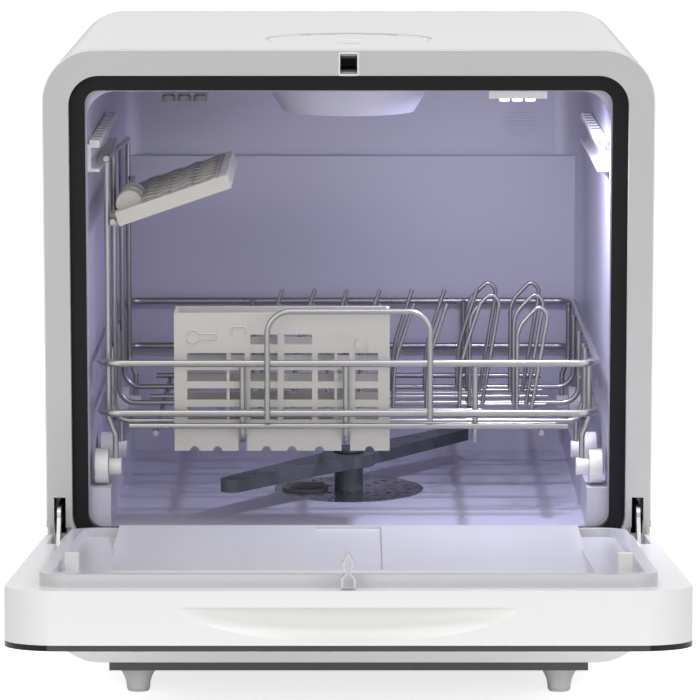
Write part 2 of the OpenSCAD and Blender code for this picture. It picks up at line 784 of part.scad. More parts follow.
module filler_bowl() {
    z1 = top_z - 0.6;
    color("white") difference() {
        union() {
            translate([0, filler_y, z1 - 5]) cylinder(h = 5, r = filler_r, $fn = 96);
            translate([0, filler_y, tub_z1 - 18 + seam])
                cylinder(h = z1 - 3 - tub_z1 + 18, r = 41, $fn = 96);
            translate([0, filler_y, duct_z - 22])
                cylinder(h = z1 - duct_z + 18, r = filler_r - 6, $fn = 96);
        }
        translate([0, filler_y, z1 - lid_t - 0.5]) cylinder(h = 20, r = filler_r - 2.4, $fn = 96);
        translate([0, filler_y, z1 - 16]) cylinder(h = 20, r = filler_r - 9, $fn = 96);
        translate([0, filler_y, z1 - filler_depth]) cylinder(h = filler_depth, r = 38, $fn = 96);
        // way into the duct
        block([-20, filler_y + 30, duct_z - 14], [20, filler_y + filler_r, duct_z - 5.2]);
        // notch of the lid's hinge
        block([-11, filler_y + filler_r - 12, z1 - 7], [11, filler_y + filler_r - 1.2, z1 + 1]);
        round_x(-12.5 - seam, 12.5 + seam, lid_pin_y, lid_pin_z, 1.2 + seam);
    }
}

lid_pin_y = filler_y + filler_r - 6;
lid_pin_z = top_z - 0.6 - 3.2;

module filler_lid() {
    z0 = top_z - 0.6 - lid_t;
    color("white") difference() {
        union() {
            intersection() {
                translate([0, filler_y, z0]) cylinder(h = lid_t, r = filler_r - 2.4 - pass_gap, $fn = 96);
                union() {
                    block([-filler_r, filler_y - filler_r, z0 - 1], [filler_r, lid_pin_y - 12, top_z]);
                    block([-27, lid_pin_y - 13, z0 - 1], [27, lid_pin_y - 4.8, top_z]);
                }
            }
            round_x(-10, 10, lid_pin_y, lid_pin_z, 2.8);
            block([-10, lid_pin_y - 5, z0], [10, lid_pin_y, z0 + lid_t]);
        }
        round_x(-11, 11, lid_pin_y, lid_pin_z, 1.2 + run_gap);
        // finger dip
        translate([0, filler_y - 34, z0 + lid_t + 20]) sphere(22, $fn = 64);
    }
}

module lid_pin() {
    color("silver") round_x(-12.5, 12.5, lid_pin_y, lid_pin_z, 1.2);
}

module inlet_valve() {
    color("white") {
        difference() {
            union() {
                round_y(back_y - 1, back_y + inlet_l, inlet_x, inlet_z, inlet_r);
                round_y(back_y - rear_t - 4, back_y, inlet_x, inlet_z, inlet_r + 2);
            }
            round_y(back_y - rear_t, back_y + inlet_l + 1, inlet_x, inlet_z, inlet_r - 4);
        }
        block([inlet_x - 16, back_y - 44, tray_top], [inlet_x + 16, back_y - rear_t - 4, inlet_z + 18]);
        translate([inlet_x, back_y - 26, inlet_z + 18]) cylinder(h = 20, r = 11);
    }
}

module drain_spout() {
    color("gray") difference() {
        union() {
            round_y(back_y - 40, back_y + drain_l, drain_x, drain_z, drain_r);
            round_y(back_y - rear_t - 3, back_y, drain_x, drain_z, drain_r + 2);
            round_y(back_y - rear_t - 3, back_y - rear_t - seam, drain_x, drain_z, drain_r + 5);
            block([drain_x - 5, back_y - 38, tray_top], [drain_x + 5, back_y - 24, drain_z]);
        }
        round_y(back_y - 41, back_y + drain_l + 1, drain_x, drain_z, drain_r - 2);
    }
}

module power_gland() {
    color("black") difference() {
        union() {
            round_y(back_y - rear_t - 8, back_y + 4, gland_x, gland_z, 7);
            round_y(back_y, back_y + 9, gland_x, gland_z, 9);
            round_y(back_y - rear_t - 8, back_y - rear_t, gland_x, gland_z, 9.5);
        }
        round_y(back_y - rear_t - 9, back_y + 10, gland_x, gland_z, gland_bore_r);
    }
}

module power_board() {
    x0 = 18 - base_w / 2;
    y0 = front_y + 34;
    z0 = tray_top + 6;
    color("seagreen") {
        block([x0, y0, z0], [x0 + 100, y0 + 62, z0 + 1.6]);
        for (dx = [5, 95], dy = [5, 57]) translate([x0 + dx, y0 + dy, tray_top]) cylinder(h = 7, r = 3);
    }
    color("black") {
        block([x0 + 10, y0 + 12, z0 + 1], [x0 + 40, y0 + 42, z0 + 22]);
        for (i = [0:2]) translate([x0 + 54 + 13 * i, y0 + 14, z0 + 1]) cylinder(h = 20, r = 5);
        block([x0 + 50, y0 + 34, z0 + 1], [x0 + 86, y0 + 52, z0 + 12]);
    }
}

module fan_housing() {
    y1 = back_y - rear_t;
    y0 = tub_back_y + tub_t;
    color("dimgray") difference() {
        union() {
            round_y(y0, y1, fan_x, fan_z, fan_r + 7);
            block([fan_x - 10, y0, fan_z - fan_r - 24], [fan_x + 10, y1, fan_z - 10]);
        }
        round_y(y0 + 3, y1 - 4, fan_x, fan_z, fan_r + 3);
        round_y(y0 - 1, y0 + 4, fan_x, fan_z, 12);
        for (a = [0:30:330]) rotate_about(fan_x, fan_z, a)
            block([fan_x - 2, y1 - 5, fan_z + 8], [fan_x + 2, y1 + 1, fan_z + fan_r]);
    }
    color("dimgray") round_y(y0 + 12, y1, fan_x, fan_z, 3);
}

// turns children about an axis along Y
module rotate_about(x, z, a) {
    translate([x, 0, z]) rotate([0, a, 0]) translate([-x, 0, -z]) children();
}

module fan_rotor() {
    y1 = back_y - rear_t - 4 - pass_gap - 0.5;
    color("black") difference() {
        union() {
            round_y(y1 - 14, y1, fan_x, fan_z, 7);
            round_y(y1 - 2, y1, fan_x, fan_z, fan_r);
            for (a = [0:30:330]) rotate_about(fan_x, fan_z, a)
                block([fan_x - 0.8, y1 - 14, fan_z + 14], [fan_x + 0.8, y1 - 1, fan_z + fan_r - 0.6]);
        }
        round_y(y1 - 15, y1 + 1, fan_x, fan_z, 3 + run_gap);
    }
}

// ---------- latch, lamp and vent ----------

module latch_box() {
    y0 = front_y + frame_t;
    z0 = open_z1 + 2.5 + seam;
    z1 = top_z - shell_t - 3 - seam;
    color("black") difference() {
        block([-11, y0, z0], [11, y0 + 32, z1]);
        block([-6, y0 - 1, z0 + 1.4], [6, y0 + 29, z1 - 1.4]);
    }
    color("silver") for (sx = [-1, 1]) block([min(sx * 6, sx * 4.8), y0 + 16, z0 + 1],
                                           [max(sx * 6, sx * 4.8), y0 + 22, z1 - 1]);
}

module lamp_housing() {
    color("whitesmoke") difference() {
        union() {
            block([lamp_x - 16 + seam, lamp_y + seam, tub_z1 - 3],
                  [lamp_x + 16 - seam, lamp_y + 26 - seam, tub_z1 + 12]);
            block([lamp_x - 20, lamp_y - 4, tub_z1 - 6], [lamp_x + 20, lamp_y + 30, tub_z1 - seam]);
        }
        block([lamp_x - 14, lamp_y + 2, tub_z1 - 7], [lamp_x + 14, lamp_y + 24, tub_z1 + 10]);
    }
}

module lamp_lens() {
    color("azure") {
        block([lamp_x - 14 + seam, lamp_y + 2 + seam, tub_z1 - 6],
              [lamp_x + 14 - seam, lamp_y + 24 - seam, tub_z1 - 3]);
        for (i = [-1, 0, 1]) translate([lamp_x + 9 * i, lamp_y + 13, tub_z1 - 9]) cylinder(h = 4, r = 3.5);
    }
}

module ceiling_vent() {
    color("gray") {
        block([vent_x - 17, vent_y - 9, tub_z1 - 3], [vent_x + 17, vent_y + 9, tub_z1 - seam]);
        for (i = [-1, 0, 1]) translate([vent_x + 11 * i, vent_y, tub_z1 - 9])
            cylinder(h = 9 + tub_t, r = 3.5 - seam);
        for (i = [-1, 0, 1]) translate([vent_x + 11 * i, vent_y, tub_z1 - 9]) cylinder(h = 4, r = 4.8);
    }
}

// ---------- hinges ----------

module hinge_arm() {
    z1 = open_z0 + 22;
    far = front_y + 92;
    color("silver") difference() {
        union() {
            slab_x(arm_x - arm_half, arm_x + arm_half) {
                bar([far, z1], [front_y - 4, z1], 13);
                bar([front_y - 4, z1], [hinge_y, hinge_z], 11);
                translate([hinge_y, hinge_z]) circle(pin_eye_r);
            }
            for (dy = [0, 40]) block([arm_x, far - 16 - dy, z1 - 6],
                                     [cab_w / 2 - shell_t, far - 4 - dy, z1 + 6]);
        }
        round_x(arm_x - 9, arm_x + 9, hinge_y, hinge_z, pin_r + run_gap);
    }
}

module hinge_arm_right() { hinge_arm(); }
module hinge_arm_left() { mirror([1, 0, 0]) hinge_arm(); }

module hinge_pins() {
    color("silver") both() opened() round_x(arm_x - 9, arm_x + 7.5, hinge_y, hinge_z, pin_r);
}

// ---------- door, drawn closed and then opened ----------

module door_outline(shrink) {
    r = corner_r - shrink;
    low_r = max(4 - shrink, 1.5);
    x = door_w / 2 - shrink;
    z0 = door_z0 + shrink;
    z1 = top_z - shrink;
    translate([-x + low_r, z0]) square([2 * (x - low_r), z1 - z0 - r]);
    translate([-x, z0 + low_r]) square([2 * x, z1 - z0 - r - low_r]);
    translate([-x + r, z1 - 2 * r]) square([2 * (x - r), 2 * r]);
    for (sx = [-1, 1]) {
        translate([sx * (x - r), z1 - r]) circle(r);
        translate([sx * (x - low_r), z0 + low_r]) circle(low_r);
    }
}

module door_frame() {
    y1 = front_y - door_gap;
    y0 = front_y - door_face;
    color("white") opened() difference() {
        slab_y(y0, y1) difference() {
            door_outline(0);
            rrect_z(door_w - 2 * door_side, rim_z0 + 2, rim_z1 - 2, rim_r);
        }
        // slots of the hinge arms
        both() block([arm_x - slot_w / 2, y0 - 0.1, door_z0 - 1], [arm_x + slot_w / 2, y1 + 1, slot_top]);
        both() round_x(arm_x - 9 - seam, arm_x + 7.5 + seam, hinge_y, hinge_z, pin_r + seam);
        // chamfer of the lower inner edge
        slab_x(-door_w, door_w)
            polygon([[y1 + 1, door_z0 - 1], [y1 - 13, door_z0 - 1], [y1 + 1, door_z0 + 14]]);
        // finger scoop of the upper edge
        intersection() {
            translate([0, y1 - scoop_y, top_z + scoop_rise]) rotate([0, 90, 0]) rotate_extrude($fn = 180)
                intersection() {
                    translate([scoop_rise + scoop_d - scoop_arc, 0]) circle(scoop_arc, $fn = 720);
                    translate([0, -scoop_w / 2]) square([scoop_rise + scoop_d + 1, scoop_w]);
                }
            block([-scoop_w, y0 - 1, top_z - 2 * scoop_d], [scoop_w, y1 - scoop_y, top_z + 1]);
        }
        // seat of the striker
        block([-4.5, y1 - 6, latch_z - 5.5], [4.5, y1 + 1, latch_z + 5.5]);
    }
}

scoop_arc = (pow(scoop_w / 2, 2) + pow(scoop_d, 2)) / (2 * scoop_d);
scoop_y = 10;
scoop_run = door_face - door_gap - scoop_y - 1.5;
scoop_rise = (pow(scoop_run, 2) - pow(scoop_d, 2)) / (2 * scoop_d);

module door_glass() {
    y1 = front_y - door_face;
    color("black") opened() slab_y(y1 - glass_t, y1) door_outline(0);
}

module rim_outline(shrink) {
    rrect_z(rim_w - 2 * shrink, rim_z0 + shrink, rim_z1 - shrink, rim_r - shrink);
}

// edge of the liner's panel in Y and Z: v is how far it stands behind the frame's plane
module panel_line() {
    u0 = rim_z0 + rim_t;
    u1 = rim_z1 - rim_t;
    y = front_y;
    p = [[10, u0], [10, u0 + 6], [-5, u0 + 162], [-12, u0 + 170], [-12, u1 - 16], [1, u1]];
    polygon([for (q = p) [y + q[0], q[1]],
             for (i = [len(p) - 1:-1:0]) [y + p[i][0] - liner_t, p[i][1]]]);
}

module door_liner() {
    y = front_y;
    yb = y - door_gap;
    u0 = rim_z0 + rim_t;
    u1 = rim_z1 - rim_t;
    color("gainsboro") opened() difference() {
        union() {
            // rim and the flange that it stands on
            slab_y(yb, y + rim_h) difference() {
                rim_outline(0);
                rim_outline(rim_t);
            }
            slab_y(yb - 9, yb + 0.4) difference() {
                rrect_z(door_w - 2 * door_side - 2 * seam, rim_z0 + 2 + seam, rim_z1 - 2 - seam,
                        rim_r - seam);
                translate([-pocket_x, u0]) square([2 * pocket_x, u1 - u0]);
            }
            // wheel tracks
            both() block([pocket_x - 0.5, y - 3, u0 - 1],
                         [rim_w / 2 - rim_t + 0.5, y + ledge_v, u1 + 1]);
            // sloped panel with the pocket
            slab_x(-pocket_x - 1, pocket_x + 1) panel_line();
            // end walls of the panel
            both() slab_x(pocket_x - 1, pocket_x + 1)
                polygon([[y - 15, u0 + 90], [y + 10, u0], [y + 10, u0 + 6],
                         [y + ledge_v, u0 + 90], [y + ledge_v, u1], [y - 15, u1]]);
        }
        // drain channel in the middle
        slab_x(-22, 22) polygon([[y + 12, u0 + 8], [y + 8, u0 + 8], [y - 7, u0 + 160], [y + 12, u0 + 160]]);
        // slots of the hinge arms
        both() block([arm_x - slot_w / 2, y - door_face - 1, door_z0 - 1],
                     [arm_x + slot_w / 2, y + 1, slot_top]);
    }
}

module door_insulation() {
    u0 = rim_z0 + rim_t + 172;
    u1 = rim_z1 - rim_t - 18;
    color("dimgray") opened()
        block([7 - pocket_x, front_y - 28, u0], [pocket_x - 7, front_y - 15 - seam, u1]);
}

module touch_board() {
    y0 = front_y - door_face + seam;
    u1 = rim_z1 - 12;
    color("seagreen") opened() {
        block([-60, y0, u1 - 26], [60, y0 + 1.6, u1]);
        for (x = [-40:20:40]) translate([x, y0 + 3, u1 - 13]) cube([7, 4, 7], center = true);
    }
}

module latch_striker() {
    y = front_y - door_gap;
    head = 23;
    color("silver") opened() slab_z(latch_z - 3, latch_z + 3) {
        difference() {
            polygon([[-4.4, y - 5.9], [-4.4, y + 7], [-1.6, y + 10], [-3.8, y + 16], [0, y + head],
                     [3.8, y + 16], [1.6, y + 10], [4.4, y + 7], [4.4, y - 5.9]]);
            polygon([[-3.2, y - 3], [-3.2, y + 6.4], [-0.4, y + 9.5], [-2.3, y + 15.8], [0, y + head - 3],
                     [2.3, y + 15.8], [0.4, y + 9.5], [3.2, y + 6.4], [3.2, y - 3]]);
        }
    }
}

// extrudes a drawing in X and Y from z0 to z1
module slab_z(z0, z1) {
    translate([0, 0, z0]) linear_extrude(z1 - z0) children();
}

module roller_stops() {
    x1 = wheel_x1 + 0.6;
    color("white") opened() both()
        block([x1 - 8.5, front_y + ledge_v, stop_u], [x1, front_y + ledge_v + 10.5, stop_u + 11]);
}

// ---------- basket ----------

upright_x = [-74, -2, 88];
side_y = [rail_y0 + 68, rail_y0 + 148, rail_y0 + 222];
floor_y = [rail_y0 + 52, rail_y0 + 104, rail_y0 + 176, rail_y1 - 40];
hub_places = [wheel_front_y, wheel_mid_y, wheel_rear_y];
plate_y = [rail_y0 + 118, rail_y0 + 196];
// left legs of the bowl loops, and which column and row each loop stands in
bowl_x = [basket_w / 2 - 87, basket_w / 2 - 55];
bowl_y = [74, 140, 206];
bowl_places = [[0, 1], [0, 2], [1, 0], [1, 1], [1, 2]];

module rail_loop(z) {
    r = 14;
    translate([0, (rail_y0 + rail_y1) / 2, z]) {
        for (sy = [-1, 1]) translate([0, sy * basket_d / 2, 0])
            rod([-rail_x + r, 0, 0], [rail_x - r, 0, 0], rail_r);
        for (sx = [-1, 1]) translate([sx * rail_x, 0, 0])
            rod([0, r - basket_d / 2, 0], [0, basket_d / 2 - r, 0], rail_r);
        for (a = [0:90:270]) let (sx = (a == 0 || a == 270) ? 1 : -1, sy = (a < 180) ? 1 : -1)
            translate([sx * (rail_x - r), sy * (basket_d / 2 - r), 0]) rotate(a)
                rotate_extrude(angle = 90) translate([r, 0]) circle(rail_r, $fn = 24);
    }
}

module basket_wires() {
    r = wire_r;
    ya = rail_y0 + upright_in;
    yb = rail_y1 - upright_in;
    yf = ya - wire_d - touch;
    xs = rail_x - upright_in;
    xh = hub_x0 + 4;
    cross_z = floor_z + wire_d + touch;
    color("silver") {
        rail_loop(rail_z);
        rail_loop(rail2_z);
        // wires that run down the front, under the floor and up the rear
        for (x = upright_x) in_yz(x)
            u_wire(ya, yb, floor_z, rail_z + 1, r, 9);
        // wires that run down one side, across the floor and up the other
        for (y = side_y) in_xz(y) u_wire(-xs, xs, cross_z, rail_z + 1, r, 12);
        // floor wires
        for (y = floor_y) rod([-rail_x + 26, y, cross_z], [rail_x - 26, y, cross_z], r);
        for (x = [-136, 136]) rod([x, rail_y0 + 40, floor_z], [x, rail_y1 - 20, floor_z], r);
        rod([-rail_x + 20, yf, floor_z + 12], [rail_x - 20, yf, floor_z + 12], r);
        // wires that carry the wheels
        for (y = hub_places, sx = [-1, 1]) let (top = sx > 0 ? rail_z + 1 : rack_low - touch) in_xz(y)
            kinked_wire([[sx * xs, top], [sx * xs, rail2_z - 6],
                         [sx * xh, wheel_z + 22], [sx * xh, wheel_z]], r);
    }
}

module basket_handle() {
    x = handle_w / 2 - wire_r;
    z = rail_z + handle_up;
    color("silver") in_xz(rail_y0 - rail_r - wire_r - touch)
        u_wire(-x, x, z, rail2_z - 4, wire_r, 16);
}

tine_z = floor_z + wire_r + tine_r + touch;   // middle of the wires that the tines stand on

module plate_tines() {
    lean = 15;
    top = rail_z + 26;
    color("silver") for (y = plate_y) {
        rod([-70, y, tine_z], [96, y, tine_z], tine_r);
        for (i = [0:6]) let (yt = y + tine_d + touch)
            rod([24 * i - 64, yt, tine_z - 1], [24 * i - 64 + lean, yt, top], tine_r);
    }
}

module bowl_tines() {
    top = rail_z + 30;
    color("silver") {
        for (g = bowl_places) let (x = bowl_x[g[0]]) in_xz(rail_y0 + bowl_y[g[1]])
            kinked_wire([[x, tine_z], [x, top - 14], [x + 15, top], [x + 20, top - 8], [x + 9, tine_z]], tine_r);
        for (y = bowl_y) let (yb = rail_y0 + y + tine_d + touch)
            rod([bowl_x[0] - 6, yb, tine_z], [bowl_x[1] + 24, yb, tine_z], tine_r);
    }
}

rack_y = [wheel_front_y, rail_y0 + 99, rail_y0 + 202, wheel_rear_y];
rack_low = rail2_z + 3.5;                      // lower ends of the rack's posts

module tall_rack() {
    y0 = rack_y[0] - 4;
    y1 = rack_y[3] + 4;
    color("silver") {
        rod([rack_x, y0, rack_z], [rack_x, y1, rack_z - rack_fall], wire_r);
        for (y = rack_y) let (top = rack_z - rack_fall * (y - y0) / (y1 - y0) - wire_r - 3 * touch)
            rod([rack_x, y, rack_low], [rack_x, y, top], wire_r);
        // hinge wire of the cup shelf
        rod([shelf_x, y0, shelf_z], [shelf_x, y1, shelf_z], wire_r);
    }
}

module wheel_hubs() {
    color("white") for (y = hub_places) both() difference() {
        union() {
            round_x(hub_x0, wheel_x0 - pass_gap, y, wheel_z, hub_r);
            round_x(hub_x0, wheel_x1 + pass_gap, y, wheel_z, axle_r);
            round_x(wheel_x1 + pass_gap, wheel_x1 + pass_gap + 1, y, wheel_z, axle_r + 2);
        }
        translate([hub_x0 + 4, y, wheel_z - 0.5]) cylinder(h = 20, r = wire_r + seam);
    }
}

module wheel(y) {
    color("white") difference() {
        round_x(wheel_x0, wheel_x1, y, wheel_z, wheel_r);
        round_x(wheel_x0 - 1, wheel_x1 + 1, y, wheel_z, axle_r + run_gap);
        difference() {
            round_x(wheel_x1 - 1.5, wheel_x1 + 1, y, wheel_z, wheel_r - 2);
            round_x(wheel_x1 - 2, wheel_x1 + 2, y, wheel_z, axle_r + 2.5);
        }
    }
}

module wheel_front_right() { wheel(wheel_front_y); }
module wheel_front_left() { mirror([1, 0, 0]) wheel(wheel_front_y); }
module wheel_mid_right() { wheel(wheel_mid_y); }
module wheel_mid_left() { mirror([1, 0, 0]) wheel(wheel_mid_y); }
module wheel_rear_right() { wheel(wheel_rear_y); }
module wheel_rear_left() { mirror([1, 0, 0]) wheel(wheel_rear_y); }

// the shelf is drawn level and then tilted about its hinge wire
module cup_shelf() {
    y1 = shelf_y0 + shelf_l;
    z0 = shelf_z - 4;
    eye = wire_r + 2.5;
    color("wheat") translate([shelf_x, 0, shelf_z]) rotate([0, -shelf_tilt, 0])
        translate([-shelf_x, 0, -shelf_z])
        difference() {
            union() {
                block([shelf_x + 4, shelf_y0, z0], [shelf_x + shelf_w, y1, z0 + shelf_t]);
                for (y = shelf_eyes) {
                    round_y(y, y + 22, shelf_x, shelf_z, eye);
                    block([shelf_x, y, z0], [shelf_x + 8, y + 22, shelf_z + 1]);
                }
                // cup hooks by the hinge
                for (y = [shelf_y0 + 14:26:shelf_y0 + 66]) round_y(y, y + 8, shelf_x + 14, shelf_z + 7, 8);
            }
            round_y(shelf_y0 - 1, y1 + 1, shelf_x, shelf_z, wire_r + run_gap);
            // room for the rack's posts
            for (y = rack_y) block([shelf_x - 9, y - 4, z0 - 9], [shelf_x + 14, y + 4, shelf_z + 20]);
            // pierced field
            for (x = [shelf_x + 26:18:shelf_x + 62], y = [shelf_y0 + 8:22:y1 - 24])
                block([x, y, z0 - 1], [x + 12, y + 14, z0 + shelf_t + 1]);
            // comb at the free edge
            for (y = [shelf_y0 + 6:16:y1 - 12]) block([shelf_x + shelf_w - 6, y, z0 - 1],
                                                      [shelf_x + shelf_w + 1, y + 8, z0 + shelf_t + 1]);
        }
}

shelf_eyes = [shelf_y0 + 16, shelf_y0 + 100, shelf_y0 + 130];

// lattice of a cutlery basket's long wall, drawn from its lower left corner
module lattice(w, h) {
    cols = [[9, 49], [53, 72], [76, 96], [100, 122], [126, 142]];
    rows = [[22, 31], [36, 44], [49, 57], [62, 69], [75, 82]];
    difference() {
        square([w, h]);
        for (c = cols, r = rows)
            if (!(r[0] == 75 && (c[0] == 9 || c[0] >= 100)))
                translate([c[0] * w / 150, r[0] * h / 97])
                    square([(c[1] - c[0]) * w / 150, (r[1] - r[0]) * h / 97]);
        for (x = [14, 30, 64, 82, 101, 136]) translate([x * w / 150, 0]) circle(wire_r + 1.2, $fn = 24);
        // slots that straddle the basket's floor wires
        for (i = [0, 1]) translate([upright_x[i] + cutlery_x + w / 2 - wire_r - 1, -1])
            square([wire_d + 2, cutlery_seat - cutlery_z0 + 1]);
    }
}

module cutlery_basket() {
    x0 = -cutlery_x - cutlery_w / 2;
    x1 = x0 + cutlery_w;
    y0 = cutlery_y0;
    y1 = y0 + cutlery_d;
    z0 = cutlery_z0;
    z1 = z0 + cutlery_h;
    t = cutlery_t;
    color("wheat") {
        for (y = [y0, y1 - t]) slab_y(y, y + t) translate([x0, z0]) lattice(cutlery_w, cutlery_h);
        difference() {
            block([x0, y0, cutlery_seat], [x1, y1, z1]);
            block([x0 + t, y0 + t - 0.1, cutlery_seat + t], [x1 - t, y1 - t + 0.1, z1 + 1]);
            for (dz = [22, 36, 49, 62, 75]) block([x0 - 1, y0 + 5, z0 + dz], [x1 + 1, y1 - 5, z0 + dz + 8]);
            block([x0 - 1, y0 - 1, cutlery_seat + t], [x1 + 1, y0 + t, z1 + 1]);
            block([x0 - 1, y1 - t, cutlery_seat + t], [x1 + 1, y1 + 1, z1 + 1]);
        }
        for (k = [1:3]) block([x0 + k * cutlery_w / 4 - 1, y0 + 1, cutlery_seat + 1],
                              [x0 + k * cutlery_w / 4 + 1, y1 - 1, z1 - 10]);
        round_y(y0 - 2, y0 + 1, x1 - 20, z1 - 22, 4);
    }
}

// ---------- pieces ----------
outer_shell();
rear_cover();
rear_screws();
base_tray();
feet();
front_frame();
toe_panel();
tub();
tub_gasket();
wheel_runners();
side_rails();
sump();
filter_plate();
filter_cup();
spray_post();
spray_arm();
wash_pump_housing();
pump_rotor();
pump_cradle();
drain_pump();
heater_coil();
water_tank();
filler_duct();
filler_bowl();
filler_lid();
lid_pin();
inlet_valve();
drain_spout();
power_gland();
power_board();
fan_housing();
fan_rotor();
latch_box();
lamp_housing();
lamp_lens();
ceiling_vent();
hinge_arm_left();
hinge_arm_right();
hinge_pins();
door_frame();
door_glass();
door_liner();
door_insulation();
touch_board();
latch_striker();
roller_stops();
basket_wires();
basket_handle();
plate_tines();
bowl_tines();
tall_rack();
wheel_hubs();
wheel_front_left();
wheel_front_right();
wheel_mid_left();
wheel_mid_right();
wheel_rear_left();
wheel_rear_right();
cup_shelf();
cutlery_basket();
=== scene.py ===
import math
import bmesh
import bpy
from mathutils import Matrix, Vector


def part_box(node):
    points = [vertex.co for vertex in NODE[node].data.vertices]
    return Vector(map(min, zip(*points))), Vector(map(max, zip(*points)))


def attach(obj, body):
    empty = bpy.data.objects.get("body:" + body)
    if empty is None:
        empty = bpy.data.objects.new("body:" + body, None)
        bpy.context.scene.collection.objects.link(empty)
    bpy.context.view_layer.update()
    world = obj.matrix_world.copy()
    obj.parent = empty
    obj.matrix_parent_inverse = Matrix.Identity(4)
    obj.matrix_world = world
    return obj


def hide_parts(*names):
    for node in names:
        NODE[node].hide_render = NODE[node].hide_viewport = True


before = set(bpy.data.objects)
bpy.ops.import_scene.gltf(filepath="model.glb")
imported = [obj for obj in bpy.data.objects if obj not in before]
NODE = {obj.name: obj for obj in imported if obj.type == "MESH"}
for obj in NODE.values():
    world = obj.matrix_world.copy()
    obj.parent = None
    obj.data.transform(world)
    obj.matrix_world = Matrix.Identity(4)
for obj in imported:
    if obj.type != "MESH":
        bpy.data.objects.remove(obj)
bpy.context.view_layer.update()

MM = 0.001


# ---------- small helpers ----------

def lin(hex_colour):
    """sRGB hex to linear RGBA."""
    out = []
    for i in (0, 2, 4):
        c = int(hex_colour[i:i + 2], 16) / 255
        out.append(c / 12.92 if c <= 0.04045 else ((c + 0.055) / 1.055) ** 2.4)
    return (out[0], out[1], out[2], 1.0)


def add(tree, kind, props=None, **inputs):
    """Adds one shader node; an input is a value or another node's socket, and _ in its name is a blank."""
    n = tree.nodes.new(kind)
    for k, v in (props or {}).items():
        setattr(n, k, v)
    for k, v in inputs.items():
        sock = n.inputs[k.replace("_", " ")]
        if isinstance(v, bpy.types.NodeSocket):
            tree.links.new(v, sock)
        else:
            sock.default_value = v
    return n


def material(name, colour, rough, metal=0.0, coat=0.0, coat_rough=0.1, mottle=0.0, mottle_mm=30.0,
             grain=0.0, grain_mm=0.5, rough_var=0.0, trans=0.0, sheen=0.5, glow=None, glow_power=0.0):
    """A procedural surface: colour with a soft mottle, roughness that wanders, and a fine grain."""
    m = bpy.data.materials.new(name)
    m.use_nodes = True
    t = m.node_tree
    s = t.nodes["Principled BSDF"]
    s.inputs["Metallic"].default_value = metal
    s.inputs["Roughness"].default_value = rough
    s.inputs["Base Color"].default_value = lin(colour)
    s.inputs["Coat Weight"].default_value = coat
    s.inputs["Coat Roughness"].default_value = coat_rough
    s.inputs["Transmission Weight"].default_value = trans
    s.inputs["Specular IOR Level"].default_value = sheen
    if glow:
        s.inputs["Emission Color"].default_value = lin(glow)
        s.inputs["Emission Strength"].default_value = glow_power
    where = t.nodes.new("ShaderNodeTexCoord").outputs["Object"]
    cloud = add(t, "ShaderNodeTexNoise", Vector=where, Scale=1.0 / (mottle_mm * MM), Detail=3.0, Roughness=0.55)
    if mottle:
        ramp = t.nodes.new("ShaderNodeValToRGB")
        base = lin(colour)
        for stop, at, share in zip(ramp.color_ramp.elements, (0.3, 0.7), (1 - mottle, 1 + mottle)):
            stop.position = at
            stop.color = [min(1, c * share) for c in base[:3]] + [1]
        t.links.new(cloud.outputs["Fac"], ramp.inputs["Fac"])
        t.links.new(ramp.outputs["Color"], s.inputs["Base Color"])
    if rough_var:
        wander = add(t, "ShaderNodeMapRange", Value=cloud.outputs["Fac"], From_Min=0.3, From_Max=0.7,
                     To_Min=max(0.02, rough - rough_var), To_Max=rough + rough_var)
        t.links.new(wander.outputs["Result"], s.inputs["Roughness"])
    if grain:
        fine = add(t, "ShaderNodeTexNoise", Vector=where, Scale=1.0 / (grain_mm * MM), Detail=2.0)
        bump = add(t, "ShaderNodeBump", Height=fine.outputs["Fac"], Strength=grain, Distance=0.1 * MM)
        t.links.new(bump.outputs["Normal"], s.inputs["Normal"])
    return m


# ---------- materials ----------

# glossy white skin of the cabinet: soft broad reflections under a thin clear coat
M_SHELL = material("white_gloss_cabinet", "DADAD9", 0.3, coat=0.3, coat_rough=0.08, mottle=0.002, mottle_mm=200,
                   rough_var=0.01)
# satin silver paint of the front frame: pale warm grey
M_FRAME = material("satin_silver_paint", "BABAB9", 0.42, metal=0.25, coat=0.15, coat_rough=0.3, mottle=0.015,
                   mottle_mm=60, grain=0.04, grain_mm=0.3)
# pressed steel of hinges, striker and filter: grey mirror, softened
M_STEEL = material("satin_steel", "B9B9BB", 0.3, metal=1.0, mottle=0.03, mottle_mm=6, rough_var=0.06)
# coated tub: lavender grey with a broad sheen
M_TUB = material("lavender_grey_tub", "C3C1D0", 0.42, metal=0.12, coat=0.2, coat_rough=0.25, mottle=0.015,
                 mottle_mm=90, rough_var=0.04)
# gasket, cradle: matt black rubber with a faint sheen
M_SEAL = material("black_rubber_seal", "0E0E0F", 0.4, sheen=0.22, grain=0.08, grain_mm=0.4, mottle=0.1, mottle_mm=15)
M_BLACK = material("black_moulded_plastic", "17181A", 0.45, grain=0.1, grain_mm=0.3, mottle=0.08, mottle_mm=10)
# service parts: mid grey plastic with a fine spark texture
M_GREY = material("mid_grey_plastic", "6E7073", 0.5, grain=0.1, grain_mm=0.4, mottle=0.02, mottle_mm=20)
M_ARM = material("slate_grey_spray_arm", "55585C", 0.42, grain=0.08, grain_mm=0.4, mottle=0.02, mottle_mm=20)
M_BASE = material("dark_grey_base_plastic", "505155", 0.5, grain=0.1, grain_mm=0.4, mottle=0.02, mottle_mm=30)
